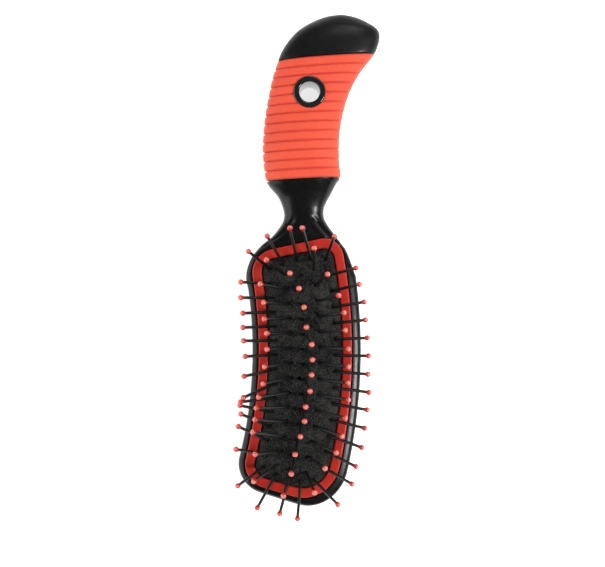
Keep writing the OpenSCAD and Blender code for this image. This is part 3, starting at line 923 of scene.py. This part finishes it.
def pin_axes(p):
    """The pin's foot on the cushion, its direction, and two directions across it."""
    x, y = bent(p[0], FRAME_SHIFT + p[1])
    a, b = math.tan(math.radians(p[2])), math.tan(math.radians(p[3]))
    phi = turn(p[0]) + math.atan2(b, a)
    away = Vector((math.cos(phi), math.sin(phi), 0))
    axis = (away * math.hypot(a, b) + Vector((0, 0, 1))).normalized()
    side = Vector((-math.sin(phi), math.cos(phi), 0))
    return Vector((x, y, cushion_z(p[0], p[1]))), axis, side, side.cross(axis)


def spun(pins, profile, steps):
    """One mesh of a profile of (radius, height) turned about every pin, closed at both ends."""
    verts, faces = [], []
    for p in pins:
        foot, axis, u, w = pin_axes(p)
        rings = []
        for r, h in profile:
            angles = [2 * math.pi * k / steps for k in range(steps)]
            rings.append([foot + axis * h + (u * math.cos(t) + w * math.sin(t)) * r for t in angles])
        v, f = loft_mesh(rings)
        faces += [tuple(i + len(verts) for i in q) for q in f]
        verts += v
    return verts, faces


wire_r = PIN_D / 2
head_z = -HEAD_DEPTH
WIRE_STEPS = 20
BEAD_STEPS = 28
# Radius and height along a wire with its flat head, and along a ball with its collar
WIRE = [
    (HEAD_R - 0.12, head_z - HEAD_T), (HEAD_R, head_z - HEAD_T + 0.12), (HEAD_R, head_z - 0.14),
    (HEAD_R - 0.14, head_z), (wire_r + 0.12, head_z + 0.03), (wire_r, head_z + 0.2),
    (wire_r, -0.6), (wire_r, 0.4), (wire_r, 5), (wire_r * 0.985, 10), (wire_r * 0.97, 15),
    (wire_r * 0.96, PIN_LEN - 1), (wire_r * 0.96, PIN_LEN + 0.2), (wire_r * 0.6, PIN_LEN + 0.3),
]
BALL = BALL_D / 2
BEAD = [(wire_r * 0.5, -1.5), (wire_r + 0.02, -1.5), (wire_r + 0.05, -1.36), (wire_r + 0.12, -1.18)]
BEAD += [
    (BALL * math.sin(math.radians(a)), -BALL * math.cos(math.radians(a))) for a in range(44, 176, 8)
]
BEAD = [(r, PIN_LEN + h) for r, h in BEAD] + [(BALL * 0.03, PIN_LEN + BALL)]

for name, pins in ROWS.items():
    wire_mesh = spun(pins, WIRE, WIRE_STEPS)
    wires = keep(name + "_wires", *wire_mesh, name + "_row", "pin_black", PIN_BLACK)
    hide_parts(name + "_pins")
    beads = raw(name + "_beads", *spun(pins, BEAD, BEAD_STEPS))
    # The drop attribute runs from the bead's collar to its top and drives its painted highlight
    drop = beads.data.attributes.new("drop", "FLOAT", "POINT")
    rise = [min(1, max(0, (h - PIN_LEN + BALL) / (2 * BALL))) for r, h in BEAD]
    bead_painted_light = np.repeat(np.array(rise, np.float32), BEAD_STEPS)
    drop.data.foreach_set("value", np.tile(bead_painted_light, len(pins)))
    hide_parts(name + "_tips")
    dress(beads, name + "_row", TIP_RED, 70)

# ---- cushion and lining ----


def sheet_mesh(at, across, top, under):
    """A closed sheet between two heights, through the places that across gives for each s."""
    rings = []
    for s in at:
        os = across(s)
        upper = [(*bent(s, FRAME_SHIFT + o), top(s, o)) for o in os]
        lower = [(*bent(s, FRAME_SHIFT + o), under(s, o)) for o in reversed(os)]
        rings.append(upper + lower)
    n, rows = len(rings[0]), len(rings)
    faces = ring_faces(rows, n)
    for base in (0, (rows - 1) * n):
        faces += [(base + k, base + k + 1, base + n - 2 - k, base + n - 1 - k) for k in range(n // 2 - 1)]
    return [p for r in rings for p in r], faces


def across_edge(e, s, count):
    """Places across an outline, close together at its edges."""
    out = []
    for k in range(count + 1):
        v = -math.cos(k * math.pi / count)
        out.append(v * (right_w(e, within(e, s)) if v > 0 else left_w(e, within(e, s))))
    return out


FEET = np.array([[*pin_axes(p)[0]] for row in ROWS.values() for p in row])


def pucker(x, y):
    """Where a pin goes in, the fabric is drawn down, with a low swelling around it."""
    d = np.sqrt(((FEET[:, :2] - (x, y)) ** 2).sum(1)).min()
    return -0.75 * math.exp(-((d / 0.95) ** 2)) + 0.16 * math.exp(-(((d - 2) / 0.7) ** 2))


def cushion_mesh():
    """The dome with its flange, hollow underneath."""
    flange = inset(FRAME_EDGE, 0.3)
    hollow = inset(CUSHION_EDGE, CUSHION_T)
    hollow_z = FRAME_Z - 0.4
    at = [-flange[1]] + along_edge(CUSHION_EDGE, 20, 230, 14) + [flange[2]]

    def across(s):
        left, right = left_w(flange, within(flange, s)), right_w(flange, within(flange, s))
        return [-left] + across_edge(CUSHION_EDGE, s, 96) + [right]

    def top_z(s, o):
        rise = dome(CUSHION_EDGE, s, share(CUSHION_EDGE, s, o))
        x, y = bent(s, FRAME_SHIFT + o)
        calm = min(1, rise * 3)
        swell_up = 0.05 * math.sin(0.9 * x + 0.35 * y) + 0.05 * math.sin(0.31 * x - 0.8 * y)
        return FRAME_Z + DOME_H * rise + calm * (pucker(x, y) + swell_up)

    def under_z(s, o):
        rise = dome(hollow, s, share(hollow, s, o))
        return hollow_z + (FRAME_Z + DOME_H - CUSHION_T - hollow_z) * rise if rise > 0.001 else FLANGE_Z

    return sheet_mesh(at, across, top_z, under_z)


cushion = raw("cushion_dome", *cushion_mesh())
vent = bent(VENT_AT[0], FRAME_SHIFT + VENT_AT[1])
cut(cushion, cylinder("vent_cutter", vent, VENT_D / 2, 0, 40, 32))
dress(cushion, None, CUSHION_BLACK, 60)
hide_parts("cushion_pad")
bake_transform(cushion)

lining_edge = inset(CUSHION_EDGE, LINING_INSET)


def lining_low(s, o):
    return LINING_Z + (DOME_H - LINING_DROP) * dome(lining_edge, s, share(lining_edge, s, o))


def lining_high(s, o):
    return lining_low(s, o) + LINING_T


def lining_across(s):
    return across_edge(lining_edge, s, 40)


lining_mesh = sheet_mesh(along_edge(lining_edge, 14, 60, 9), lining_across, lining_high, lining_low)
lining = keep("cushion_backing", *lining_mesh, "cushion_core", "lining_cloth", LINING_CLOTH)
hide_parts("cushion_lining")

# ---- floor, light and picture ----


def floor_paint():
    """Pale seamless paper, partly lit by itself so that it stays white."""
    n = Nodes("floor_pale")
    cloud = n.noise(4, 3)
    colour = n.ramp(cloud, (0.3, (0.90, 0.90, 0.90)), (0.7, (0.93, 0.93, 0.93)))
    n.link(colour, n.shader.inputs["Emission Color"])
    return n.finish(colour, n.grey(cloud, 0.75, 0.9), Emission_Strength=0.85)


floor_mesh = bpy.data.meshes.new("floor")
reach = 2.5
corners = [(-reach, -reach, 0), (reach, -reach, 0), (reach, reach, 0), (-reach, reach, 0)]
floor_mesh.from_pydata(corners, [], [(0, 1, 2, 3)])
floor_mesh.materials.append(floor_paint())
floor = bpy.data.objects.new("floor", floor_mesh)
floor.location = (0, 0, cad_box[0][2] - 0.0001)
bpy.context.scene.collection.objects.link(floor)


def softbox(name, place, aim, size, power):
    """A rectangular studio light of the given size and watts."""
    lamp = bpy.data.lights.new(name, "AREA")
    lamp.shape = "RECTANGLE"
    lamp.size, lamp.size_y = size
    lamp.energy = power
    obj = bpy.data.objects.new(name, lamp)
    obj.location = place
    obj.rotation_euler = (Vector(aim) - Vector(place)).to_track_quat("-Z", "Y").to_euler()
    bpy.context.scene.collection.objects.link(obj)


middle = (0, 0.05, 0)
softbox("key", (0.76, -0.16, 0.84), middle, (0.34, 0.34), 10.8)
softbox("back", (0.3, 0.95, 0.8), middle, (0.6, 0.6), 4.0)
softbox("fill", (-1.1, -0.1, 0.46), middle, (1.6, 0.9), 10.5)

world = bpy.data.worlds.new("studio")
bpy.context.scene.world = world
world.use_nodes = True
world.node_tree.nodes["Background"].inputs["Color"].default_value = (1, 1, 1, 1)
world.node_tree.nodes["Background"].inputs["Strength"].default_value = 0.1

view = bpy.context.scene.view_settings
view.view_transform = "Standard"
view.look = "None"
view.exposure = 0
view.gamma = 1
